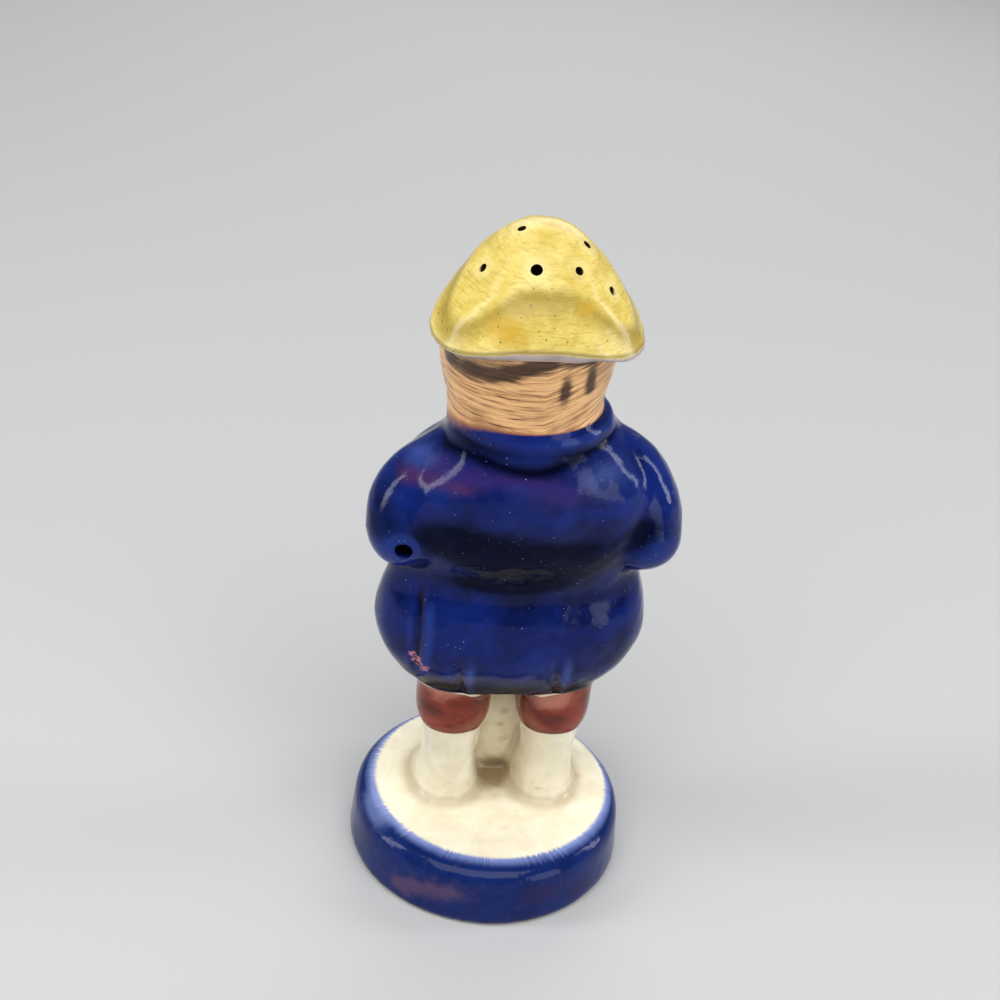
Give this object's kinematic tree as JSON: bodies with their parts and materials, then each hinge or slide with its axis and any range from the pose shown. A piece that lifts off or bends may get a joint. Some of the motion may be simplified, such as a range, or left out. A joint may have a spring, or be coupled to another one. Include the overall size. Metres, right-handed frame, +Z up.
{
  "type": "figural salt shaker",
  "caption": "Hollow glazed figure in a long coat, knee breeches and tricorne hat on a round base, with pour holes in the hat and a stopper underneath.",
  "frame": {"origin": "centre of the bounding box's underside, on the surface that the shaker stands on and within a millimetre of the axis of the round base", "axes": "+Z up, the figure faces -Y, +X is the figure's left"},
  "size_m": [0.0484, 0.0458, 0.1133],
  "materials": {
    "glazed_figure": "glossy hand-painted glaze over cream earthenware",
    "stopper": "matt rubber"
  },
  "bodies": {
    "root": {"shaker_figure": "glazed_figure", "stopper": "stopper"}
  },
  "joints": []
}
